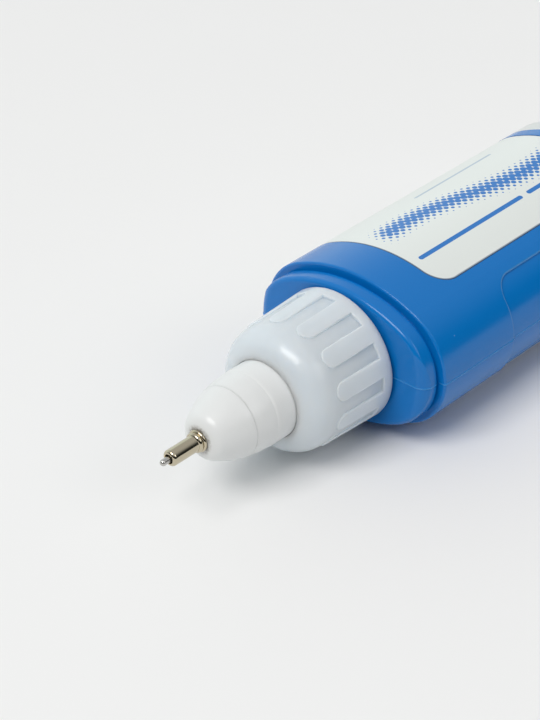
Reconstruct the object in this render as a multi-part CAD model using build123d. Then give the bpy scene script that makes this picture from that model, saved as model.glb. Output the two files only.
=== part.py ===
from build123d import *
from math import atan2, cos, degrees, radians, sin, sqrt, tan
import os

os.makedirs("parts", exist_ok=True)

# A squeeze correction pen lying on its broad face. Lengths are in millimetres.
# The pen is drawn on the X axis with its barrel shoulder at x = 0 and the tip towards -X,
# then set down so that the origin is under the middle of its box, with +Z up.

# Barrel section: an oval of four tangent arcs
barrel_width = 24.2
barrel_thick = 16.8
face_crown = 1.15
barrel_wall = 1.0

# Barrel along its length
barrel_length = 39.0
shoulder_round = 0.25
front_wall = 1.0

# Spigot that takes the cap: an oval with a flat front, turned off round at its narrow sides
spigot_length = 2.3
spigot_face_step = 0.75
spigot_side_step = 0.78
spigot_edge_round = 0.55
spigot_side_round = 1.3
spigot_turn_margin = 0.02
cap_groove_width = 0.45
cap_groove_depth = 0.35

# Finger recess on the near narrow side
grip_front = 11.6
grip_rear_margin = 5.3
grip_seam_margin = 1.2
grip_corner = 2.3
grip_depth = 0.28
grip_round = 0.26

# Wrapped label, let into a panel on the barrel
label_front = 5.6
label_rear_margin = 1.85
label_near_margin = 5.3
label_corner = 2.5
label_thick = 0.1
label_sink = 0.02
label_gap = 0.12

# Rear plug
plug_flange = 4.0
plug_skirt = 3.5
plug_wall = 1.0
plug_floor = 1.2
plug_round = 1.4

# Threaded neck and its thread
neck_r = 5.2
neck_wall = 1.3
neck_length = 6.7
thread_pitch = 2.5
thread_height = 0.55
thread_root_width = 1.0
thread_crest_width = 0.5
thread_turns = 1.75
thread_gap = 0.15
thread_inset = 1.0
thread_sink = 0.15

# Union nut
nut_wall = 1.09
nut_taper = 0.35
nut_gap = 0.4
nut_front_wall = 2.4
nut_front_round = 3.0
slot_rise = 0.15
finger_count = 12
finger_setback = 0.35
finger_width = 2.15
finger_foot = 0.03
land_round = 0.13
nut_rim_length = 1.3

# Nose cone
nose_base_length = 2.55
nose_step = 0.07
nose_base_round = 0.35
ogive_length = 6.02
ogive_radius = 12.6
nose_flat_width = 0.1
nose_bore_r = 2.9
nose_wall = 1.1
flange_thick = 1.6
flange_lip = 0.9

# Metal tip
tube_wall = 0.43
tube_length = 3.4
mouth_flare = 0.08
mouth_land = 0.01
mouth_depth = 0.3
rear_bead_height = 0.32
rear_bead_width = 0.4
front_bead_height = 0.2
front_bead_width = 0.5
bead_groove = 0.1
shank_step = 0.07
shank_length = 4.3
seat_depth = 0.3

# Needle valve
needle_r = 0.35
needle_reach = 1.1
stem_length = 4.3
head_thick = 1.2
head_boss_r = 1.1
head_boss_length = 1.2
head_setback = 1.8
flute_count = 4
flute_r = 0.55
spring_wire = 0.36
spring_turns = 5
spring_samples = 200
retainer_thick = 1.6
retainer_seat = 0.3
retainer_sink = 0.1

# Gasket and mixing ball
gasket_thick = 0.8
ball_r = 3.0
ball_from_front = 19.8

# Clearances
seat_gap = 0.05
turn_gap = 0.06
lie_gap = 0.05
needle_gap = 0.1
boss_gap = 0.32
head_gap = 0.7

# Sizes that follow from a fit or a margin
grip_length = barrel_length - grip_front - grip_rear_margin
label_edge = barrel_width / 2 - label_near_margin
bore_r = neck_r + thread_height + thread_gap
hub_r = bore_r + nut_wall
finger_height = land_round + finger_foot
nut_front_r = hub_r + finger_height
nut_rear_r = nut_front_r + nut_taper
nose_r = neck_r - flange_lip
tube_bore_r = needle_r + needle_gap
tube_r = tube_bore_r + tube_wall
tube_round = tube_wall - mouth_flare - mouth_land
rear_bead_r = tube_r + rear_bead_height
front_bead_r = tube_r + front_bead_height
shank_r = tube_r + shank_step
nose_flat_r = rear_bead_r + nose_flat_width
stem_r = tube_bore_r + seat_depth - seat_gap
head_r = nose_bore_r - head_gap
spring_r = head_boss_r + boss_gap + spring_wire / 2
retainer_hole_r = spring_r - retainer_seat

# Places along the axis
spigot_front = -spigot_length
neck_end = spigot_front - neck_length
gasket_rear = neck_end - seat_gap
flange_rear = gasket_rear - gasket_thick
flange_front = flange_rear - flange_thick
nut_floor = flange_front - seat_gap
nut_front = nut_floor - nut_front_wall
nut_rear = spigot_front - nut_gap
fingertip = nut_front + nut_front_round
nose_step_at = nut_front - nose_base_length
ogive_end = nose_step_at - ogive_length
plug_rear = barrel_length + plug_flange
chamber_front = spigot_front + front_wall

# The ogive falls from the nose's base as an arc that starts along the axis
ogive_r = nose_r - nose_step
ogive_end_r = ogive_r - ogive_radius + sqrt(ogive_radius**2 - ogive_length**2)
ogive_slope = degrees(atan2(ogive_length, sqrt(ogive_radius**2 - ogive_length**2)))
nose_front = ogive_end - (ogive_end_r - nose_flat_r) / tan(radians((ogive_slope + 90) / 2))
bead_front = nose_front - rear_bead_width - front_bead_width
tube_front = bead_front - tube_length
needle_tip = tube_front - needle_reach
tube_rear = nose_front + shank_length
bore_end = tube_rear + nose_wall
needle_stem_at = tube_rear + seat_gap
head_front = needle_stem_at + head_setback
head_rear = head_front + head_thick
retainer_rear = flange_rear - retainer_sink
retainer_front = retainer_rear - retainer_thick

# The origin sits under the middle of the pen
origin_x = (needle_tip + plug_rear) / 2
axis_z = barrel_thick / 2

# Points closer than this count as the same
near = 1e-3


def oval_arcs(inset, side_inset=None):
    """Half sizes of the section moved inwards by inset, and the seam of its side and face arcs.
    Its narrow sides move by side_inset where that is given."""
    a = barrel_width / 2 - (inset if side_inset is None else side_inset)
    b = barrel_thick / 2 - inset
    side_r = b - face_crown
    face_r = ((a - side_r) ** 2 + b**2 - side_r**2) / (2 * face_crown)
    y = face_r * (a - side_r) / (face_r - side_r)
    z = b - face_r + face_r * (face_r - b) / (face_r - side_r)
    return a, b, y, z


def oval(inset, side_inset=None):
    """The barrel's section in the YZ plane, moved inwards by inset."""
    a, b, y, z = oval_arcs(inset, side_inset)
    arcs = [
        ThreePointArc((y, z), (0, b), (-y, z)),
        ThreePointArc((-y, z), (-a, 0), (-y, -z)),
        ThreePointArc((-y, -z), (0, -b), (y, -z)),
        ThreePointArc((y, -z), (a, 0), (y, z)),
    ]
    return make_face(arcs)


def oval_prism(inset, x_front, x_rear, side_inset=None):
    return extrude(Plane.YZ.offset(x_front) * oval(inset, side_inset), amount=x_rear - x_front)


def turned(edges):
    """A solid of revolution about the X axis, from edges drawn as (x, radius)."""
    return revolve(Plane.XZ * make_face(edges), Axis.X)


def turned_steps(*points):
    return turned(Polyline(*points, close=True))


def drum(x_front, x_rear, r):
    return turned_steps((x_front, 0), (x_rear, 0), (x_rear, r), (x_front, r))


def tube_ring(x_front, x_rear, r_inner, r_outer):
    return turned_steps((x_front, r_inner), (x_rear, r_inner), (x_rear, r_outer), (x_front, r_outer))


def edges_at(solid, x):
    """The edges of a solid that lie in the plane at x, shortest first."""
    found = []
    for edge in solid.edges():
        box = edge.bounding_box()
        if abs(box.min.X - x) < near and abs(box.max.X - x) < near:
            found.append(edge)
    return sorted(found, key=lambda edge: edge.length)


def rim_at(solid, x):
    """The outer rim of an oval prism's end at x: its four longest edges."""
    return edges_at(solid, x)[-4:]


def thread(x_end, r_root, r_crest):
    """A right-hand ridge that runs towards -X up to x_end, sunk a little into its root."""
    rise = thread_pitch * thread_turns
    toward = 1 if r_crest > r_root else -1
    sunk_r = r_root - toward * thread_sink
    path = Pos(x_end + rise, 0, 0) * Rot(0, -90, 0) * Helix(thread_pitch, rise, sunk_r)
    start = path @ 0
    outward = Vector(0, start.Y, start.Z).normalized() * toward
    plane = Plane(origin=start, x_dir=outward, z_dir=path % 0)
    depth = abs(r_crest - r_root) + thread_sink
    profile = Polyline(
        (0, -thread_root_width / 2),
        (depth, -thread_crest_width / 2),
        (depth, thread_crest_width / 2),
        (0, thread_root_width / 2),
        close=True,
    )
    return sweep(plane * make_face(profile), path, is_frenet=True)


def barrel_skin(depth):
    """A shell round the barrel's body that reaches inwards to depth."""
    return oval_prism(-barrel_wall, 0, barrel_length) - oval_prism(depth, 0, barrel_length)


def label_outline(grow):
    """The label's plan, open to the far side, where the label goes round the barrel."""
    x_front = label_front - grow
    x_rear = barrel_length - label_rear_margin + grow
    y_near = -label_edge - grow
    y_far = barrel_width
    plan = Pos((x_front + x_rear) / 2, (y_near + y_far) / 2) * Rectangle(x_rear - x_front, y_far - y_near)
    corners = plan.vertices().sort_by(Axis.Y)[:2]
    plan = fillet(corners, label_corner + grow)
    return extrude(plan, amount=barrel_thick, both=True)


def grip_cutter():
    """The finger recess: a rounded rectangle bent round the near side's arc, with walls square to it."""
    half_width, half_thick, seam_y, seam_z = oval_arcs(0)
    side_r = half_thick - face_crown
    side_y = side_r - half_width
    reach = degrees(atan2(seam_z, seam_y + side_y) - grip_seam_margin / side_r)
    cut = grip_depth + barrel_wall
    section = Pos(grip_front + grip_length / 2, grip_depth - side_r - cut / 2) * Rectangle(grip_length, cut)
    section = Pos(0, side_y, 0) * Rot(-reach, 0, 0) * section
    block = revolve(section, Axis((0, side_y, 0), (1, 0, 0)), revolution_arc=2 * reach)
    return fillet(block.edges().sort_by(SortBy.LENGTH)[:4], grip_corner)


def grip_rim(barrel):
    """The outer edges of the finger recess, on the arc of the barrel's near side."""
    side_r = barrel_thick / 2 - face_crown
    side_y = side_r - barrel_width / 2
    found = []
    for edge in barrel.edges():
        box = edge.bounding_box()
        within = box.min.X > grip_front - near and box.max.X < grip_front + grip_length + near
        mid = edge @ 0.5
        from_side = Vector(0, mid.Y - side_y, mid.Z).length
        if within and mid.Y < side_y and abs(from_side - side_r) < near:
            found.append(edge)
    return found


def make_spigot(x_rear):
    """The spigot back to x_rear, with a groove for the cap's bead in front of the shoulder.
    Its front edge is rounded, and a turned round takes its sides off."""
    spigot = oval_prism(spigot_face_step, spigot_front, -cap_groove_width, spigot_side_step)
    spigot = fillet(rim_at(spigot, spigot_front), spigot_edge_round)
    root_face = spigot_face_step + cap_groove_depth
    root_side = spigot_side_step + cap_groove_depth
    spigot += oval_prism(root_face, spigot_front + front_wall / 2, x_rear, root_side)
    turn_r = barrel_width / 2 - spigot_side_step + spigot_turn_margin
    round_mid = spigot_side_round * sqrt(0.5)
    face_r = turn_r - spigot_side_round
    side_x = spigot_front + spigot_side_round
    turning = turned([
        Line((spigot_front, 0), (spigot_front, face_r)),
        ThreePointArc((spigot_front, face_r), (side_x - round_mid, face_r + round_mid), (side_x, turn_r)),
        Polyline((side_x, turn_r), (x_rear, turn_r), (x_rear, 0), (spigot_front, 0)),
    ])
    return spigot & turning


def make_barrel():
    body = oval_prism(0, 0, barrel_length)
    body = fillet(rim_at(body, 0), shoulder_round)
    wall_rear = shoulder_round + barrel_wall
    barrel = body + make_spigot(wall_rear)
    barrel += drum(neck_end, spigot_front + front_wall / 2, neck_r)
    barrel -= oval_prism(barrel_wall, wall_rear, barrel_length)
    inner_face = spigot_face_step + barrel_wall
    inner_side = spigot_side_step + barrel_wall
    barrel -= oval_prism(inner_face, chamber_front, wall_rear + barrel_wall, inner_side)
    barrel -= drum(neck_end, chamber_front + front_wall, neck_r - neck_wall)
    barrel -= barrel_skin(label_thick + label_sink) & label_outline(label_gap)
    barrel -= grip_cutter()
    barrel = fillet(grip_rim(barrel), grip_round)
    return barrel + thread(neck_end + thread_inset, neck_r, neck_r + thread_height)


def make_label():
    paper = oval_prism(label_sink, 0, barrel_length)
    paper -= oval_prism(label_sink + label_thick, 0, barrel_length)
    return paper & label_outline(0)


def make_rear_plug():
    flange = oval_prism(0, barrel_length, plug_rear)
    flange = fillet(rim_at(flange, plug_rear), plug_round)
    skirt = oval_prism(barrel_wall, barrel_length - plug_skirt, barrel_length + plug_flange / 2)
    hollow = oval_prism(barrel_wall + plug_wall, barrel_length - plug_skirt, plug_rear - plug_floor)
    return flange + skirt - hollow


def land_r(x):
    """The radius of the nut's lands, which widen towards the barrel."""
    return nut_front_r + (nut_rear_r - nut_front_r) * (x - fingertip) / (nut_rear - fingertip)


def on_land(edge):
    """Whether an edge lies on the cone of the nut's lands."""
    for place in (0, 0.25, 0.5, 0.75, 1):
        point = edge @ place
        if abs(Vector(0, point.Y, point.Z).length - land_r(point.X)) > near:
            return False
    return True


def make_union_nut():
    shoulder_r = hub_r - nut_front_round
    round_mid = nut_front_round * sqrt(0.5)
    hub = turned([
        Polyline((nut_front, 0), (nut_rear, 0), (nut_rear, hub_r + slot_rise), (fingertip, hub_r)),
        ThreePointArc(
            (fingertip, hub_r),
            (fingertip - round_mid, shoulder_r + round_mid),
            (nut_front, shoulder_r),
        ),
        Line((nut_front, shoulder_r), (nut_front, 0)),
    ])
    sleeve = turned_steps(
        (fingertip, hub_r - finger_height),
        (nut_rear, hub_r - finger_height),
        (nut_rear, land_r(nut_rear)),
        (fingertip, land_r(fingertip)),
    )
    rim_front = nut_rear - nut_rim_length
    tip_mid = fingertip + finger_setback + finger_width / 2
    finger_plan = Pos((rim_front + tip_mid) / 2, 0) * Rectangle(rim_front - tip_mid, finger_width)
    finger_plan += Pos(tip_mid, 0) * Circle(finger_width / 2)
    finger = extrude(finger_plan, amount=2 * nut_rear_r)
    keep = drum(rim_front, nut_rear, 2 * nut_rear_r)
    for i in range(finger_count):
        keep += Rot(360 * (i + 0.5) / finger_count, 0, 0) * finger
    nut = hub + (sleeve & keep)
    nut = fillet([edge for edge in nut.edges() if on_land(edge)], land_round)
    nut -= drum(nut_floor, nut_rear, bore_r)
    nut -= drum(nut_front, nut_floor, nose_r + turn_gap)
    return nut + thread(neck_end + thread_inset - thread_pitch / 2, bore_r, neck_r + thread_gap)


def make_nose_cone():
    end = (ogive_end, ogive_end_r)
    slope = Vector(-cos(radians(ogive_slope)), -sin(radians(ogive_slope)))
    outline = [
        Polyline((nose_front, 0), (flange_rear, 0), (flange_rear, neck_r), (flange_front, neck_r)),
        Polyline((flange_front, neck_r), (flange_front, nose_r), (nose_step_at + nose_base_round, nose_r)),
        TangentArc((nose_step_at + nose_base_round, nose_r), (nose_step_at, ogive_r), tangent=(-1, 0)),
        TangentArc((nose_step_at, ogive_r), end, tangent=(-1, 0)),
        TangentArc(end, (nose_front, nose_flat_r), tangent=slope),
        Line((nose_front, nose_flat_r), (nose_front, 0)),
    ]
    nose = turned(outline)
    nose -= drum(bore_end, flange_rear, nose_bore_r)
    funnel = turned_steps(
        (tube_rear, 0),
        (bore_end, 0),
        (bore_end, nose_bore_r),
        (tube_rear, shank_r),
    )
    return nose - funnel - drum(nose_front, tube_rear, shank_r)


def make_gasket():
    return tube_ring(flange_rear, gasket_rear, neck_r - neck_wall, neck_r)


def make_metal_tip():
    rear_mid = nose_front - rear_bead_width / 2
    front_mid = nose_front - rear_bead_width - front_bead_width / 2
    seam = nose_front - rear_bead_width
    seam_r = front_bead_r - bead_groove
    mid = tube_round * (1 - sqrt(0.5))
    outline = [
        Polyline(
            (tube_front, tube_bore_r + mouth_flare),
            (tube_front + mouth_depth, tube_bore_r),
            (tube_rear - seat_depth, tube_bore_r),
            (tube_rear, tube_bore_r + seat_depth),
            (tube_rear, shank_r),
            (nose_front, shank_r),
            (nose_front, seam_r),
        ),
        ThreePointArc((nose_front, seam_r), (rear_mid, rear_bead_r), (seam, seam_r)),
        ThreePointArc((seam, seam_r), (front_mid, front_bead_r), (bead_front, tube_r)),
        Line((bead_front, tube_r), (tube_front + tube_round, tube_r)),
        ThreePointArc(
            (tube_front + tube_round, tube_r),
            (tube_front + mid, tube_r - mid),
            (tube_front, tube_r - tube_round),
        ),
        Line((tube_front, tube_r - tube_round), (tube_front, tube_bore_r + mouth_flare)),
    ]
    return turned(outline)


def make_needle():
    tip_mid = needle_r * sqrt(0.5)
    cone = stem_r - needle_r
    outline = [
        ThreePointArc(
            (needle_tip, 0),
            (needle_tip + needle_r - tip_mid, tip_mid),
            (needle_tip + needle_r, needle_r),
        ),
        Polyline(
            (needle_tip + needle_r, needle_r),
            (needle_stem_at - cone, needle_r),
            (needle_stem_at, stem_r),
            (needle_stem_at + stem_length, stem_r),
            (needle_stem_at + stem_length, 0),
            (needle_tip, 0),
        ),
    ]
    return turned(outline)


def make_needle_head():
    head = drum(head_front, head_rear, head_r)
    head += drum(head_rear, head_rear + head_boss_length, head_boss_r)
    for i in range(flute_count):
        flute = Pos(0, head_r, 0) * drum(head_front, head_rear, flute_r)
        head -= Rot(360 * i / flute_count, 0, 0) * flute
    return head - drum(head_front, needle_stem_at + stem_length, stem_r)


def make_spring():
    x_front = head_rear + spring_wire / 2 + seat_gap
    x_rear = retainer_front - spring_wire / 2 - seat_gap
    rise = x_rear - x_front
    path = Pos(x_front, 0, 0) * Rot(0, 90, 0) * Helix(rise / spring_turns, rise, spring_r)
    section = Plane(origin=path @ 0, z_dir=path % 0) * Circle(spring_wire / 2)
    points = [path @ (i / spring_samples) for i in range(spring_samples + 1)]
    half_turn = spring_samples // (2 * spring_turns)
    apart = [(p - q).length for i, p in enumerate(points) for q in points[i + half_turn:]]
    print("valve spring: least gap between turns %.3f mm" % (min(apart) - spring_wire))
    return sweep(section, path, is_frenet=True)


def make_retainer():
    return tube_ring(retainer_front, retainer_rear, retainer_hole_r, nose_bore_r)


def make_ball():
    floor_z = -barrel_thick / 2 + barrel_wall
    return Pos(chamber_front + ball_from_front, 0, floor_z + lie_gap + ball_r) * Sphere(ball_r)


parts = {
    "barrel": make_barrel,
    "wrap_label": make_label,
    "rear_plug": make_rear_plug,
    "union_nut": make_union_nut,
    "nose_cone": make_nose_cone,
    "neck_gasket": make_gasket,
    "metal_tip": make_metal_tip,
    "valve_needle": make_needle,
    "needle_head": make_needle_head,
    "valve_spring": make_spring,
    "spring_retainer": make_retainer,
    "mixing_ball": make_ball,
}
for name, make in parts.items():
    export_step(Pos(-origin_x, 0, axis_z) * make(), f"parts/{name}.step")
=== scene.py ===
from math import asin, cos, degrees, pi, radians, sin, sqrt, tau

import bpy
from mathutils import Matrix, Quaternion, Vector


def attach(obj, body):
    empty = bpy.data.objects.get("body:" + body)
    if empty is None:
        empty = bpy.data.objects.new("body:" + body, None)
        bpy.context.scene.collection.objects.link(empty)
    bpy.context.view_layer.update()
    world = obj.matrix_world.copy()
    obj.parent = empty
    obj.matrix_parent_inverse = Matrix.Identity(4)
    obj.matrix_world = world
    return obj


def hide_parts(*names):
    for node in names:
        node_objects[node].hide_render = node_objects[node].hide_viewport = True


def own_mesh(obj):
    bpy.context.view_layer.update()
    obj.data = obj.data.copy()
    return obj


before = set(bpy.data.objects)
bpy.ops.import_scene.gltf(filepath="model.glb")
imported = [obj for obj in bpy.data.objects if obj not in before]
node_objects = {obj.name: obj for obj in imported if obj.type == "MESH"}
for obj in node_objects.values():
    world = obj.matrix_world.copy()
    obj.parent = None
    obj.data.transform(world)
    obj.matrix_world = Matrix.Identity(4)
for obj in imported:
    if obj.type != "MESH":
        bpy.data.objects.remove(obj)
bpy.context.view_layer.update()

MM = 0.001

# Places on the pen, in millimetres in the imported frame: X along the pen, Z up from the table
AXIS_Z = 8.4
SHOULDER_X = -7.149
SHOULDER_ROUND = 0.25
BARREL_REAR_X = 31.851
BARREL_SIDE_Y = 12.1
BARREL_SIDE_R = 7.25
SPIGOT_FRONT_X = -9.449
SPIGOT_SIDE_Y = 11.32
SPIGOT_ROUND = 1.3
SPIGOT_FLAT_Y = 10.04
CAP_GROOVE_WIDTH = 0.45
NECK_R = 5.2
GRIP_FRONT_X = 4.451
GRIP_REAR_X = 26.551
GRIP_CORNER = 2.3
GRIP_HALF_ARC = 6.81
GRIP_DEPTH = 0.28
GRIP_ROUND = 0.26
LABEL_FRONT_X = -1.549
LABEL_REAR_X = 30.001
LABEL_NEAR_Y = 6.8
LABEL_CORNER = 2.5
LABEL_GAP = 0.12
NUT_REAR_X = -9.849
FINGERTIP_X = -18.049
LAND_FRONT_R = 7.15
LAND_REAR_R = 7.5
NOSE_STEP_X = -23.599
WITNESS_X = -26.26
OGIVE_R = 4.23
OGIVE_RADIUS = 12.6
NOSE_FRONT_X = -30.451
BEAD_R = 1.2
SPRING_FRONT_X = -23.046
SPRING_REAR_X = -18.699
SPRING_R = 1.6
SPRING_WIRE = 0.36

# The label's print, in millimetres: along from its front edge, across from the pen's middle
DOT_PITCH = 0.72
DOT_LARGEST_R = 0.6 * DOT_PITCH
DOT_EDGE = (-0.04, 0.02)
WAVE_TURN = 0.17
WAVE_START = 0.6
WAVE_HEIGHT = 1.5
WAVE_MIDDLE = 1.6
WAVE_CORE = 0.3
WAVE_REACH = 2.5
WAVE_BEGIN = 0.9
WAVE_FULL = 3.2
BLUE_RULES = ((1.6, 18.5), (20.0, 27.0))
BLUE_RULE_ACROSS = -2.85
BLUE_RULE_HALF = 0.28
GREY_RULE = (12.5, 25.5)
GREY_RULE_ACROSS = 6.7
GREY_RULE_HALF = 0.2
RULE_EDGE = 0.02
BACK_LINE_PITCH = 1.5
BACK_LINE_SHARE = 0.07
BACK_LINES_MIDDLE = (15.8, 0.75)
BACK_LINES_HALF = (12.6, 5.3)


# Node helpers


def display(r, g, b):
    """A colour as it shows on screen, 0 to 255, as the linear colour that nodes take."""
    channels = []
    for value in (r, g, b):
        s = value / 255
        channels.append(s / 12.92 if s <= 0.04045 else ((s + 0.055) / 1.055) ** 2.4)
    return (*channels, 1.0)


def place(tree, kind, feeds=None, **settings):
    """Adds a node, with its settings and with values or links on its inputs."""
    made = tree.nodes.new(kind)
    for name, value in settings.items():
        setattr(made, name, value)
    for name, value in (feeds or {}).items():
        if isinstance(value, bpy.types.NodeSocket):
            tree.links.new(value, made.inputs[name])
        else:
            made.inputs[name].default_value = value
    return made


def calc(tree, operation, *terms, clamp=False):
    """One arithmetic step; each term is a number or a socket."""
    feeds = dict(enumerate(terms))
    return place(tree, "ShaderNodeMath", feeds, operation=operation, use_clamp=clamp).outputs[0]


def times(tree, first, *others):
    """The product of several masks or values."""
    for other in others:
        first = calc(tree, "MULTIPLY", first, other)
    return first


def apart(tree, a, b):
    """How far apart two values are."""
    return calc(tree, "ABSOLUTE", calc(tree, "SUBTRACT", a, b))


def length_of(tree, a, b):
    """The length of a step of a one way and b square to it."""
    return calc(tree, "SQRT", calc(tree, "MULTIPLY_ADD", a, a, calc(tree, "MULTIPLY", b, b)))


def ramp(tree, value, low, high, to_low=0.0, to_high=1.0, kind="SMOOTHSTEP"):
    """A smooth step from to_low to to_high as value goes from low to high."""
    feeds = {"Value": value, "From Min": low, "From Max": high, "To Min": to_low, "To Max": to_high}
    return place(tree, "ShaderNodeMapRange", feeds, interpolation_type=kind).outputs[0]


def ramp_straight(tree, value, low, high, to_low, to_high):
    """The same step as a straight line."""
    return ramp(tree, value, low, high, to_low, to_high, "LINEAR")


def blend_colour(tree, factor, under, over, mode="MIX"):
    """Lays one colour over another. The sockets go by number, as a mix node repeats their names."""
    feeds = {0: factor, 6: under, 7: over}
    return place(tree, "ShaderNodeMix", feeds, data_type="RGBA", blend_type=mode).outputs[2]


def noise(tree, vector, scale, detail=2.0, roughness=0.5):
    feeds = {"Vector": vector, "Scale": scale, "Detail": detail, "Roughness": roughness}
    return place(tree, "ShaderNodeTexNoise", feeds).outputs["Fac"]


def stretched(tree, vector, x, y, z):
    feeds = {0: vector, 1: (x, y, z)}
    return place(tree, "ShaderNodeVectorMath", feeds, operation="MULTIPLY").outputs[0]


def axes(tree, position):
    """The place along the pen, across it and up from the table, in millimetres."""
    scaled = stretched(tree, position, 1 / MM, 1 / MM, 1 / MM)
    return place(tree, "ShaderNodeSeparateXYZ", {"Vector": scaled}).outputs


def from_axis(tree, position):
    """The place along the pen and the distance from its axis, in millimetres."""
    x, y, z = axes(tree, position)
    return x, length_of(tree, y, calc(tree, "SUBTRACT", z, AXIS_Z))


def past_corners(tree, x, front, rear, corner, across):
    """How far a place lies beyond the corner centres of a rounded panel.
    across is its distance beyond them square to the pen's length."""
    middle = (front + rear) / 2
    half = (rear - front) / 2 - corner
    along = calc(tree, "SUBTRACT", apart(tree, x, middle), half)
    return length_of(tree, calc(tree, "MAXIMUM", along, 0.0), calc(tree, "MAXIMUM", across, 0.0))


def new_group(name, inputs, outputs):
    """An empty node group with named sockets. inputs holds (name, kind, default)."""
    tree = bpy.data.node_groups.new(name, "ShaderNodeTree")
    for label, kind, default in inputs:
        socket = tree.interface.new_socket(name=label, in_out="INPUT", socket_type=kind)
        if default is not None:
            socket.default_value = default
    for label, kind in outputs:
        tree.interface.new_socket(name=label, in_out="OUTPUT", socket_type=kind)
    entry = tree.nodes.new("NodeGroupInput").outputs
    leave = tree.nodes.new("NodeGroupOutput").inputs
    return tree, entry, leave


def grouped(tree, group, feeds):
    return place(tree, "ShaderNodeGroup", feeds, node_tree=group).outputs


VALUE = "NodeSocketFloat"
VECTOR = "NodeSocketVector"


# Effects that several finishes share


def moulded_skin_group():
    """Fine peel of a moulded surface, with slow changes of gloss and shade."""
    tree, entry, leave = new_group(
        "moulded_skin",
        [("Position", VECTOR, None), ("Peel Scale", VALUE, 1800.0), ("Gloss", VALUE, 0.3),
         ("Gloss Swing", VALUE, 0.08), ("Shade Swing", VALUE, 0.04)],
        [("Height", VALUE), ("Roughness", VALUE), ("Shade", VALUE)],
    )
    wave_share, fine_share = 1.6, 0.35
    position = entry["Position"]
    peel = noise(tree, position, entry["Peel Scale"], detail=3.0, roughness=0.55)
    waves = noise(tree, position, scale=210.0)
    height = calc(tree, "MULTIPLY_ADD", waves, wave_share, peel)
    slow = noise(tree, position, scale=130.0, detail=3.0, roughness=0.6)
    fine = noise(tree, position, scale=5200.0)
    swing = calc(tree, "MULTIPLY_ADD", fine, fine_share, slow)
    swing = calc(tree, "SUBTRACT", swing, (1 + fine_share) / 2)
    rough = calc(tree, "MULTIPLY_ADD", swing, entry["Gloss Swing"], entry["Gloss"], clamp=True)
    tone = calc(tree, "SUBTRACT", noise(tree, position, scale=75.0), 0.5)
    shade = calc(tree, "MULTIPLY_ADD", tone, entry["Shade Swing"], 1.0)
    tree.links.new(height, leave["Height"])
    tree.links.new(rough, leave["Roughness"])
    tree.links.new(shade, leave["Shade"])
    return tree


def handling_marks_group():
    """Hair-fine scratches along the pen and settled dust specks, as masks."""
    tree, entry, leave = new_group(
        "handling_marks",
        [("Position", VECTOR, None), ("Scratch Share", VALUE, 0.3), ("Speck Scale", VALUE, 900.0),
         ("Speck Share", VALUE, 0.06)],
        [("Scratches", VALUE), ("Specks", VALUE)],
    )
    smallest_speck, speck_growth = 0.03, 0.07
    position = entry["Position"]
    along = stretched(tree, position, 90.0, 2600.0, 2600.0)
    lines = ramp(tree, noise(tree, along, scale=1.0, roughness=0.4), low=0.68, high=0.76)
    patches = ramp(tree, noise(tree, position, scale=160.0), low=0.5, high=0.72)
    scratches = times(tree, lines, patches, entry["Scratch Share"])
    feeds = {"Vector": position, "Scale": entry["Speck Scale"]}
    cells = place(tree, "ShaderNodeTexVoronoi", feeds).outputs
    pick = place(tree, "ShaderNodeSeparateColor", {"Color": cells["Color"]}).outputs
    chosen = calc(tree, "LESS_THAN", pick[0], entry["Speck Share"])
    size = calc(tree, "MULTIPLY_ADD", pick[1], speck_growth, smallest_speck)
    dot = calc(tree, "LESS_THAN", cells["Distance"], size)
    tree.links.new(scratches, leave["Scratches"])
    tree.links.new(times(tree, dot, chosen), leave["Specks"])
    return tree


def gathered_dirt_and_shade_group():
    """Dirt and painted contact shade that gather in a corner: broken patches that fade with the distance from
    it.
    """
    tree, entry, leave = new_group(
        "gathered_dirt_and_shade",
        [("Position", VECTOR, None), ("Distance", VALUE, 0.0), ("Reach", VALUE, 0.4), ("Share", VALUE, 0.6)],
        [("Mask", VALUE)],
    )
    away = calc(tree, "DIVIDE", entry["Distance"], entry["Reach"])
    near = calc(tree, "SUBTRACT", 1.0, away, clamp=True)
    patches = noise(tree, entry["Position"], scale=2600.0, detail=3.0, roughness=0.6)
    patches = ramp(tree, patches, low=0.25, high=0.75)
    tree.links.new(times(tree, near, patches, entry["Share"]), leave["Mask"])
    return tree


def turned_lines_group():
    """Fine rings that a lathe or a drawing die leaves round the pen's axis."""
    tree, entry, leave = new_group(
        "turned_lines",
        [("Position", VECTOR, None), ("Line Scale", VALUE, 9000.0), ("Gloss", VALUE, 0.2),
         ("Gloss Swing", VALUE, 0.1)],
        [("Height", VALUE), ("Roughness", VALUE)],
    )
    round_share = 0.03
    rings = stretched(tree, entry["Position"], 1.0, round_share, round_share)
    lines = noise(tree, rings, entry["Line Scale"], detail=3.0, roughness=0.6)
    slow = noise(tree, entry["Position"], scale=700.0)
    swing = calc(tree, "SUBTRACT", calc(tree, "ADD", lines, slow), 1.0)
    rough = calc(tree, "MULTIPLY_ADD", swing, entry["Gloss Swing"], entry["Gloss"], clamp=True)
    tree.links.new(lines, leave["Height"])
    tree.links.new(rough, leave["Roughness"])
    return tree


moulded_skin = moulded_skin_group()
handling_marks = handling_marks_group()
gathered_dirt_and_shade = gathered_dirt_and_shade_group()
turned_lines = turned_lines_group()


# Finishes. A peel or a line depth is in metres.


def new_finish(name, **fixed):
    """A material with its Principled shader and the position on the piece that its nodes read."""
    made = bpy.data.materials.new(name)
    made.use_nodes = True
    tree = made.node_tree
    shader = tree.nodes["Principled BSDF"]
    for label, value in fixed.items():
        shader.inputs[label.replace("_", " ")].default_value = value
    position = tree.nodes.new("ShaderNodeTexCoord").outputs["Object"]
    return made, tree, shader.inputs, position


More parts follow.
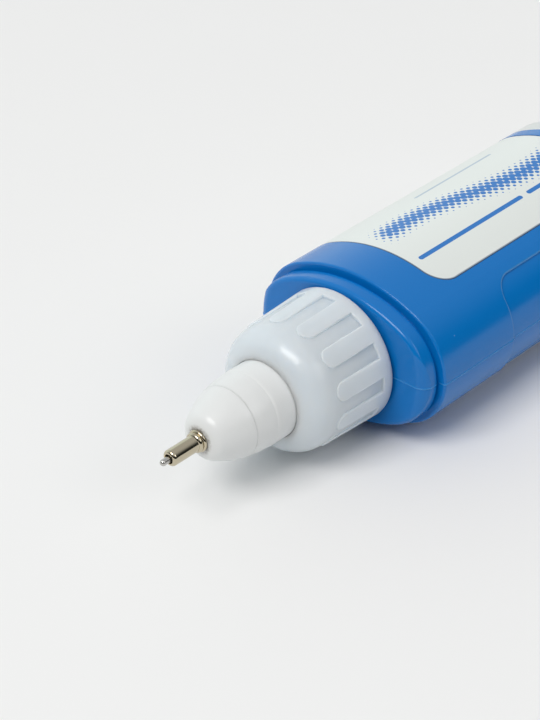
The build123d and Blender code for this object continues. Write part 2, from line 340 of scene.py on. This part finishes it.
def raise_bump(tree, inputs, height, distance):
    feeds = {"Height": height, "Distance": distance, "Strength": 1.0}
    bump = place(tree, "ShaderNodeBump", feeds)
    tree.links.new(bump.outputs["Normal"], inputs["Normal"])


def shaded(tree, colour, shade):
    """A colour made a little lighter or darker by a value about 1."""
    grey = place(tree, "ShaderNodeCombineColor", {0: shade, 1: shade, 2: shade}).outputs[0]
    return blend_colour(tree, 1.0, colour, grey, "MULTIPLY")


def moulded_finish(name, colour, gloss, peel, scratch=0.25, speck_scale=900.0, speck_share=0.05, **fixed):
    """A moulded plastic: peel, changing gloss, scratches and dust. Its colour is left to the caller, who
    gets the shaded colour and the mask of the specks."""
    dulled = 0.25
    made, tree, inputs, position = new_finish(name, **fixed)
    skin = grouped(tree, moulded_skin, {"Position": position, "Gloss": gloss})
    feeds = {"Position": position, "Scratch Share": scratch, "Speck Scale": speck_scale,
             "Speck Share": speck_share}
    marks = grouped(tree, handling_marks, feeds)
    base = shaded(tree, colour, skin["Shade"])
    rough = calc(tree, "MULTIPLY_ADD", marks["Scratches"], dulled, skin["Roughness"], clamp=True)
    tree.links.new(rough, inputs["Roughness"])
    raise_bump(tree, inputs, skin["Height"], peel)
    return made, tree, inputs, position, base, marks["Specks"]


def plain_plastic(name, colour, gloss, peel, **fixed):
    """A moulded plastic of one colour."""
    made, tree, inputs, _, base, _ = moulded_finish(name, colour, gloss, peel, **fixed)
    tree.links.new(base, inputs["Base Color"])
    return made


def grip_rim_highlight(tree, position):
    """A mask of the finger recess's rim, for a pale highlight painted along it."""
    core, feather = 0.02, 0.03
    x, y, z = axes(tree, position)
    inward = calc(tree, "SUBTRACT", BARREL_SIDE_R - BARREL_SIDE_Y, y)
    turn = calc(tree, "ARCTAN2", calc(tree, "SUBTRACT", z, AXIS_Z), inward)
    arc = calc(tree, "MULTIPLY", calc(tree, "ABSOLUTE", turn), BARREL_SIDE_R)
    across = calc(tree, "SUBTRACT", arc, GRIP_HALF_ARC - GRIP_CORNER)
    beyond = past_corners(tree, x, GRIP_FRONT_X, GRIP_REAR_X, GRIP_CORNER, across)
    off = apart(tree, beyond, GRIP_CORNER + GRIP_ROUND / 2)
    highlight_rim = ramp(tree, off, core, GRIP_ROUND / 2 + feather, 1.0, 0.0)
    return times(tree, highlight_rim, calc(tree, "GREATER_THAN", inward, 0.0))


def barrel_blue(name, colour, gloss):
    """Blue squeeze plastic, dusty, with a highlight painted pale along the finger recess's rim."""
    dust_share, highlight_share = 0.3, 0.45
    made, tree, inputs, position, base, specks = moulded_finish(
        name, colour, gloss, peel=0.0000025, speck_scale=700.0, speck_share=0.03, IOR=1.5,
        Specular_IOR_Level=0.38)
    dust = times(tree, specks, dust_share)
    base = blend_colour(tree, dust, base, display(150, 190, 222))
    # Painted highlight: the finger recess's rim is blended towards a paler blue.
    highlight_rim = times(tree, grip_rim_highlight(tree, position), highlight_share)
    tree.links.new(blend_colour(tree, highlight_rim, base, display(92, 160, 214)), inputs["Base Color"])
    return made


def nut_milky():
    """Milky plastic that light goes into, greyer in the slots between the nut's lands, where shade is
    painted.
    """
    slot_shade_share = 0.27
    shallow, deep = 0.02, 0.3
    front_plain, rear_full = 0.6, 1.0
    made, tree, inputs, position, base, _ = moulded_finish(
        "nut_milky", display(212, 220, 227), gloss=0.24, peel=0.000003, IOR=1.49, Subsurface_Weight=0.9,
        Subsurface_Radius=(0.002, 0.0022, 0.0024), Subsurface_Scale=1.0)
    x, r = from_axis(tree, position)
    land = ramp_straight(tree, x, FINGERTIP_X, NUT_REAR_X, LAND_FRONT_R, LAND_REAR_R)
    sunk = ramp(tree, calc(tree, "SUBTRACT", land, r), shallow, deep)
    rearward = ramp(tree, x, FINGERTIP_X + front_plain, NUT_REAR_X - rear_full)
    # Painted shade: the slots are greyed where they sink deeper and towards the nut's rear.
    painted_slot_shade = times(tree, sunk, rearward, slot_shade_share)
    tree.links.new(blend_colour(tree, painted_slot_shade, base, display(176, 192, 206)), inputs["Base Color"])
    return made


def nose_white():
    """White plastic with a halo of grime and painted contact shade round the metal tip."""
    halo_depth, speck_strength = 1.5, 0.6
    made, tree, inputs, position, base, specks = moulded_finish(
        "nose_white", display(227, 229, 229), gloss=0.33, peel=0.0000012, scratch=0.2, speck_scale=600.0,
        speck_share=0.03, IOR=1.5, Subsurface_Weight=0.25,
        Subsurface_Radius=(0.0007, 0.0007, 0.0007), Subsurface_Scale=1.0)
    x, r = from_axis(tree, position)
    halo = calc(tree, "SUBTRACT", r, BEAD_R)
    feeds = {"Position": position, "Distance": halo, "Reach": 0.5, "Share": 0.9}
    # Grime and painted contact shade: a darker brown that fades away from the metal bead.
    dirt_and_shade = grouped(tree, gathered_dirt_and_shade, feeds)["Mask"]
    front = calc(tree, "LESS_THAN", x, NOSE_FRONT_X + halo_depth)
    base = blend_colour(tree, times(tree, dirt_and_shade, front), base, display(132, 124, 112))
    specks = times(tree, specks, speck_strength)
    tree.links.new(blend_colour(tree, specks, base, display(150, 146, 138)), inputs["Base Color"])
    return made


def dot_wave(tree, along, across):
    """A mask of round dots that swell along a gentle wave and die out away from it."""
    cell = DOT_PITCH * sqrt(2)
    first = calc(tree, "DIVIDE", calc(tree, "ADD", along, across), cell)
    second = calc(tree, "DIVIDE", calc(tree, "SUBTRACT", along, across), cell)
    first = calc(tree, "ADD", calc(tree, "FLOOR", first), 0.5)
    second = calc(tree, "ADD", calc(tree, "FLOOR", second), 0.5)
    dot_along = calc(tree, "MULTIPLY", calc(tree, "ADD", first, second), cell / 2)
    dot_across = calc(tree, "MULTIPLY", calc(tree, "SUBTRACT", first, second), cell / 2)
    step_along = calc(tree, "SUBTRACT", along, dot_along)
    step_across = calc(tree, "SUBTRACT", across, dot_across)
    away = length_of(tree, step_along, step_across)
    swing = calc(tree, "SINE", calc(tree, "MULTIPLY_ADD", dot_along, WAVE_TURN, WAVE_START))
    wave = calc(tree, "MULTIPLY_ADD", swing, WAVE_HEIGHT, WAVE_MIDDLE)
    off = apart(tree, dot_across, wave)
    size = ramp_straight(tree, off, WAVE_CORE, WAVE_REACH, DOT_LARGEST_R, 0.0)
    ends = ramp_straight(tree, dot_along, WAVE_BEGIN, WAVE_FULL, 0.0, 1.0)
    outside = calc(tree, "SUBTRACT", away, times(tree, size, ends))
    return ramp_straight(tree, outside, *DOT_EDGE, 1.0, 0.0)


def rule(tree, along, across, ends, line, half):
    """A mask of one printed rule with round ends."""
    begin, end = ends
    held = calc(tree, "MINIMUM", calc(tree, "MAXIMUM", along, begin), end)
    away = length_of(tree, calc(tree, "SUBTRACT", along, held), calc(tree, "SUBTRACT", across, line))
    return ramp_straight(tree, away, half - RULE_EDGE, half + RULE_EDGE, 1.0, 0.0)


def back_lines(tree, along, across):
    """A mask of the thin ruled lines on the label's back."""
    row = calc(tree, "FRACT", calc(tree, "DIVIDE", across, BACK_LINE_PITCH))
    lines = calc(tree, "LESS_THAN", apart(tree, row, 0.5), BACK_LINE_SHARE)
    for at, middle, half in zip((along, across), BACK_LINES_MIDDLE, BACK_LINES_HALF):
        lines = times(tree, lines, calc(tree, "LESS_THAN", apart(tree, at, middle), half))
    return lines


def label_edge(tree, x, y):
    """A mask of the label's cut edge, where the film shows a thin darker line."""
    inner, outer = 0.16, 0.05
    across = calc(tree, "SUBTRACT", LABEL_CORNER - LABEL_NEAR_Y, y)
    beyond = past_corners(tree, x, LABEL_FRONT_X, LABEL_REAR_X, LABEL_CORNER, across)
    return ramp_straight(tree, beyond, LABEL_CORNER - inner, LABEL_CORNER - outer, 0.0, 1.0)


def label_film():
    """White film with a plain print: a wave of dots and a few rules, and ruled lines on the back."""
    edge_share = 0.85
    made, tree, inputs, position, base, _ = moulded_finish(
        "label_film", display(228, 233, 230), gloss=0.34, peel=0.000002, IOR=1.46)
    x, y, z = axes(tree, position)
    along = calc(tree, "SUBTRACT", x, LABEL_FRONT_X)
    face = calc(tree, "GREATER_THAN", z, AXIS_Z)
    back = calc(tree, "SUBTRACT", 1.0, face)
    blue = dot_wave(tree, along, y)
    for ends in BLUE_RULES:
        line = rule(tree, along, y, ends, BLUE_RULE_ACROSS, BLUE_RULE_HALF)
        blue = calc(tree, "MAXIMUM", blue, line)
    grey = times(tree, rule(tree, along, y, GREY_RULE, GREY_RULE_ACROSS, GREY_RULE_HALF), face)
    lines = times(tree, back_lines(tree, along, y), back)
    worn_print = noise(tree, position, scale=3200.0, detail=3.0, roughness=0.7)
    worn_print = ramp(tree, worn_print, low=0.2, high=0.45, to_low=0.82)
    base = blend_colour(tree, times(tree, blue, face, worn_print), base, display(38, 118, 196))
    base = blend_colour(tree, calc(tree, "MAXIMUM", grey, lines), base, display(178, 194, 208))
    edge = times(tree, label_edge(tree, x, y), edge_share)
    tree.links.new(blend_colour(tree, edge, base, display(70, 100, 130)), inputs["Base Color"])
    return made


def metal_finish(name, gloss, line_scale, depth):
    """A turned or drawn metal. Its colour is left to the caller."""
    made, tree, inputs, position = new_finish(name, Metallic=1.0)
    feeds = {"Position": position, "Line Scale": line_scale, "Gloss": gloss}
    lines = grouped(tree, turned_lines, feeds)
    tree.links.new(lines["Roughness"], inputs["Roughness"])
    raise_bump(tree, inputs, lines["Height"], depth)
    return made, tree, inputs, position


def tip_nickel():
    """Nickel plate, grimy and painted darker with contact shade where the tip leaves the nose."""
    made, tree, inputs, position = metal_finish("tip_nickel", gloss=0.09, line_scale=9000.0, depth=0.0000015)
    x = axes(tree, position)["X"]
    feeds = {"Position": position, "Distance": apart(tree, x, NOSE_FRONT_X), "Reach": 0.3, "Share": 0.9}
    # Grime and painted contact shade: darker brown where the tip meets the nose.
    dirt_and_shade = grouped(tree, gathered_dirt_and_shade, feeds)["Mask"]
    grimy_and_shaded = blend_colour(tree, dirt_and_shade, display(198, 188, 165), display(92, 78, 62))
    tree.links.new(grimy_and_shaded, inputs["Base Color"])
    return made


def plain_metal(name, colour, gloss, line_scale, depth):
    """A metal with a slow change of tone."""
    dark_share = 0.82
    made, tree, inputs, position = metal_finish(name, gloss, line_scale, depth)
    tint = noise(tree, position, scale=900.0)
    darker = (*(dark_share * c for c in colour[:3]), 1.0)
    tree.links.new(blend_colour(tree, tint, colour, darker), inputs["Base Color"])
    return made


finishes = {
    "barrel": barrel_blue("barrel_blue", display(2, 115, 194), gloss=0.2),
    "wrap_label": label_film(),
    "rear_plug": plain_plastic(
        "plug_white", display(215, 219, 218), gloss=0.3, peel=0.000003, IOR=1.5),
    "union_nut": nut_milky(),
    "nose_cone": nose_white(),
    "neck_gasket": plain_plastic(
        "gasket_rubber", display(206, 206, 202), gloss=0.62, peel=0.000006),
    "metal_tip": tip_nickel(),
    "valve_needle": plain_metal(
        "needle_steel", display(206, 204, 200), gloss=0.24, line_scale=12000.0, depth=0.0000015),
    "needle_head": plain_plastic(
        "head_plastic", display(228, 228, 222), gloss=0.42, peel=0.000004),
    "valve_spring": plain_metal(
        "spring_steel", display(196, 196, 194), gloss=0.28, line_scale=6000.0, depth=0.000001),
    "spring_retainer": plain_plastic(
        "retainer_plastic", display(224, 226, 226), gloss=0.42, peel=0.000004),
    "mixing_ball": plain_metal(
        "ball_steel", display(205, 205, 205), gloss=0.12, line_scale=400.0, depth=0.000001),
}
for node_name, finish in finishes.items():
    slots = node_objects[node_name].data.materials
    slots.clear()
    slots.append(finish)


# Pieces that the solids leave to this script


def mesh_piece(name, points, faces, body, finish):
    """A smooth mesh piece, in millimetres, that rides on a body."""
    mesh = bpy.data.meshes.new(name)
    mesh.from_pydata([Vector(p) * MM for p in points], [], faces)
    mesh.shade_smooth()
    mesh.materials.append(finish)
    piece = bpy.data.objects.new(name, mesh)
    bpy.context.scene.collection.objects.link(piece)
    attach(piece, body)
    return piece


def tube_mesh(path, radius, sides=16):
    """A closed round wire along a path of points, with flat ends."""
    points, faces = [], []
    count = len(path)
    for i, here in enumerate(path):
        ahead = path[min(i + 1, count - 1)]
        behind = path[max(i - 1, 0)]
        along = (ahead - behind).normalized()
        out = Vector((0, here.y, here.z - AXIS_Z)).normalized()
        out = (out - along * out.dot(along)).normalized()
        side = along.cross(out)
        for k in range(sides):
            turn = tau * k / sides
            points.append(here + out * (radius * cos(turn)) + side * (radius * sin(turn)))
    for i in range(count - 1):
        for k in range(sides):
            a = i * sides + k
            b = i * sides + (k + 1) % sides
            faces.append((a, a + sides, b + sides, b))
    faces.append(tuple(range(sides)))
    faces.append(tuple(reversed(range((count - 1) * sides, count * sides))))
    return points, faces


def valve_spring_piece():
    """The coil spring: closed end turns and open turns between them."""
    turns, closed, steps = 5.0, 0.9, 48
    closed_pitch = 1.06
    low = SPRING_FRONT_X + SPRING_WIRE / 2
    high = SPRING_REAR_X - SPRING_WIRE / 2
    close_rise = SPRING_WIRE * closed_pitch * closed
    open_turns = turns - 2 * closed
    open_rise = (high - low) - 2 * close_rise
    path = []
    for i in range(int(turns * steps) + 1):
        t = i / steps
        if t < closed:
            x = low + close_rise * t / closed
        elif t > turns - closed:
            x = high - close_rise * (turns - t) / closed
        else:
            x = low + close_rise + open_rise * (t - closed) / open_turns
        path.append(Vector((x, SPRING_R * cos(tau * t), AXIS_Z + SPRING_R * sin(tau * t))))
    points, faces = tube_mesh(path, SPRING_WIRE / 2)
    piece = mesh_piece("coil_spring", points, faces, "tip", finishes["valve_spring"])
    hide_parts("valve_spring")
    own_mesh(piece)


def ridge_run(stations, half_width, height, sunk):
    """A low ridge along stations, each a point, its outward direction and its sideways one.
    Its ends are left open. ring is the number of points round each station."""
    arch_steps = 8
    points, faces = [], []
    for at, out, side in stations:
        for k in range(arch_steps + 1):
            turn = pi * k / arch_steps
            points.append(at + side * (half_width * cos(turn)) + out * (height * sin(turn)))
        points.append(at - side * half_width - out * sunk)
        points.append(at + side * half_width - out * sunk)
    ring = arch_steps + 3
    for i in range(len(stations) - 1):
        for k in range(ring):
            a = i * ring + k
            b = i * ring + (k + 1) % ring
            faces.append((a, b, b + ring, a + ring))
    return points, faces, ring


def parting_line_piece():
    """The fine ridge that the mould's halves leave along both narrow sides of the barrel."""
    half_width, height, sunk = 0.07, 0.045, 0.02
    neck_room, shoulder_room, spigot_side_from = 0.1, 0.02, 1.1
    curve_steps, spigot_steps = 8, 22
    up = Vector((0, 0, 1))

    def at(x, y, out_x, out_y, side):
        return Vector((x, side * y, AXIS_Z)), Vector((out_x, side * out_y, 0)), up

    def curve(x, y, radius, begin, end, side):
        """Stations on a rounded edge, by the outward angle from straight out of the barrel's side."""
        found = []
        for k in range(curve_steps + 1):
            turn = radians(begin + (end - begin) * k / curve_steps)
            found.append(at(x + radius * sin(turn), y + radius * cos(turn), sin(turn), cos(turn), side))
        return found

    def straight(x_front, x_rear, y, side, count=12):
        return [at(x_front + (x_rear - x_front) * k / count, y, 0, 1, side) for k in range(count + 1)]

    def spigot_run(side):
        """From the neck across the spigot's front and round its edge to the cap's groove."""
        begin = NECK_R + neck_room
        reach = SPIGOT_FLAT_Y - begin
        run = [at(SPIGOT_FRONT_X, begin + reach * k / spigot_steps, -1, 0, side) for k in range(spigot_steps)]
        swept = degrees(asin((SPIGOT_SIDE_Y - SPIGOT_FLAT_Y) / SPIGOT_ROUND))
        run += curve(SPIGOT_FRONT_X + SPIGOT_ROUND, SPIGOT_FLAT_Y, SPIGOT_ROUND, -90, swept - 90, side)
        groove_x = SHOULDER_X - CAP_GROOVE_WIDTH
        return run + straight(SPIGOT_FRONT_X + spigot_side_from, groove_x, SPIGOT_SIDE_Y, side, count=4)

    def shoulder_run(side):
        """Up the barrel's shoulder and round its edge."""
        run = [at(SHOULDER_X, SPIGOT_SIDE_Y + shoulder_room, -1, 0, side)]
        round_x, round_y = SHOULDER_X + SHOULDER_ROUND, BARREL_SIDE_Y - SHOULDER_ROUND
        return run + curve(round_x, round_y, SHOULDER_ROUND, -90, 0, side)

    def near_runs(side):
        """Along the near side, down into the finger recess, through it and out again."""
        front, rear = GRIP_FRONT_X - GRIP_ROUND, GRIP_REAR_X + GRIP_ROUND
        round_y = BARREL_SIDE_Y - GRIP_ROUND
        ahead = straight(SHOULDER_X + SHOULDER_ROUND, front, BARREL_SIDE_Y, side)
        ahead += curve(front, round_y, GRIP_ROUND, 0, 90, side)
        floor = straight(GRIP_FRONT_X, GRIP_REAR_X, BARREL_SIDE_Y - GRIP_DEPTH, side, count=20)
        behind = curve(rear, round_y, GRIP_ROUND, -90, 0, side)
        behind += straight(rear, BARREL_REAR_X, BARREL_SIDE_Y, side)
        return [shoulder_run(side) + ahead, floor, behind]

    def far_runs(side):
        """Along the far side up to the label, and behind it."""
        ahead = straight(SHOULDER_X + SHOULDER_ROUND, LABEL_FRONT_X - LABEL_GAP, BARREL_SIDE_Y, side)
        behind = straight(LABEL_REAR_X + LABEL_GAP, BARREL_REAR_X, BARREL_SIDE_Y, side)
        return [shoulder_run(side) + ahead, behind]

    points, faces = [], []
    for run in [spigot_run(-1), *near_runs(-1), spigot_run(1), *far_runs(1)]:
        start = len(points)
        more, joined, ring = ridge_run(run, half_width, height, sunk)
        points += more
        faces += [tuple(start + i for i in face) for face in joined]
        faces.append(tuple(start + i for i in reversed(range(ring))))
        faces.append(tuple(start + len(more) - ring + i for i in range(ring)))
    pale = barrel_blue("parting_blue", display(44, 136, 205), gloss=0.3)
    mesh_piece("parting_line", points, faces, "bottle", pale)


def witness_ring_piece():
    """The fine line round the nose where two parts of its mould met."""
    half_width, height, sunk = 0.06, 0.014, 0.02
    count = 240
    fall = asin((NOSE_STEP_X - WITNESS_X) / OGIVE_RADIUS)
    r = OGIVE_R - OGIVE_RADIUS * (1 - cos(fall))
    stations = []
    for k in range(count):
        turn = tau * k / count
        round_out = Vector((0, cos(turn), sin(turn)))
        out = Vector((-sin(fall), 0, 0)) + round_out * cos(fall)
        side = Vector((cos(fall), 0, 0)) + round_out * sin(fall)
        stations.append((Vector((WITNESS_X, 0, AXIS_Z)) + round_out * r, out, side))
    points, faces, ring = ridge_run(stations, half_width, height, sunk)
    last = (count - 1) * ring
    for k in range(ring):
        b = (k + 1) % ring
        faces.append((last + k, last + b, b, k))
    mesh_piece("witness_ring", points, faces, "tip", finishes["nose_cone"])


valve_spring_piece()
parting_line_piece()
witness_ring_piece()


# Table, light and camera, in metres


def table_top():
    half = 4.0
    corners = [(-half, -half, 0), (half, -half, 0), (half, half, 0), (-half, half, 0)]
    mesh = bpy.data.meshes.new("table_top")
    mesh.from_pydata(corners, [], [(0, 1, 2, 3)])
    floor = bpy.data.objects.new("table_top", mesh)
    bpy.context.scene.collection.objects.link(floor)
    made, tree, inputs, position = new_finish("table_paper", Roughness=0.9, Specular_IOR_Level=0.1)
    tone = noise(tree, position, scale=60.0)
    pale = blend_colour(tree, tone, display(239, 239, 239), display(240, 240, 240))
    tree.links.new(pale, inputs["Base Color"])
    mesh.materials.append(made)


def lamp(name, energy, place_at, aim, **settings):
    """An area lamp that faces a point."""
    data = bpy.data.lights.new(name, "AREA")
    data.energy = energy
    for label, value in settings.items():
        setattr(data, label, value)
    made = bpy.data.objects.new(name, data)
    made.location = place_at
    made.rotation_euler = (Vector(aim) - Vector(place_at)).to_track_quat("-Z", "Y").to_euler()
    bpy.context.scene.collection.objects.link(made)


def studio_light():
    """A softbox above the tip, a weak fill on the near side, and a soft ceiling whose backdrop is pale
    behind the pen and dark towards its front and its near side."""
    lamp("strip_softbox", energy=22.2, place_at=(-1.12, -0.08, 1.65), aim=(-0.01, 0.0, 0.008),
         shape="RECTANGLE", size=1.2, size_y=0.7, color=(1.0, 0.98, 0.95))
    lamp("side_fill", energy=4.5, place_at=(0.5, -1.5, 1.2), aim=(0.0, 0.0, 0.008),
         shape="DISK", size=1.0)
    ceiling = (0.595, 0.6, 0.61, 1.0)
    red_share = 0.9
    world = bpy.data.worlds.new("studio")
    bpy.context.scene.world = world
    world.use_nodes = True
    tree = world.node_tree
    toward = tree.nodes.new("ShaderNodeTexCoord").outputs["Generated"]
    along, across, rise = place(tree, "ShaderNodeSeparateXYZ", {"Vector": toward}).outputs
    behind = ramp(tree, across, low=-0.1, high=0.8, to_low=0.03)
    ahead = ramp(tree, along, low=-0.9, high=-0.3, to_low=0.2)
    low = times(tree, behind, ahead)
    less_red = times(tree, low, red_share)
    backdrop = place(tree, "ShaderNodeCombineColor", {0: less_red, 1: low, 2: low}).outputs[0]
    height = ramp(tree, rise, low=0.3, high=0.85)
    sky = blend_colour(tree, height, backdrop, ceiling)
    tree.links.new(sky, tree.nodes["Background"].inputs["Color"])


def camera():
    """The photograph's camera, as its picture gives it."""
    eye = Vector((-0.16638305, -0.13380767, 0.14260016))
    aim = Vector((-0.01530898, 0.00436601, 0.0084))
    roll = radians(-0.644)
    data = bpy.data.cameras.new("photo_camera")
    data.lens = 119.21
    data.clip_start = 0.01
    made = bpy.data.objects.new("photo_camera", data)
    made.location = eye
    made.rotation_mode = "QUATERNION"
    made.rotation_quaternion = (aim - eye).to_track_quat("-Z", "Y") @ Quaternion((0, 0, 1), roll)
    bpy.context.scene.collection.objects.link(made)
    bpy.context.scene.camera = made


table_top()
studio_light()
camera()
bpy.context.scene.view_settings.view_transform = "Standard"
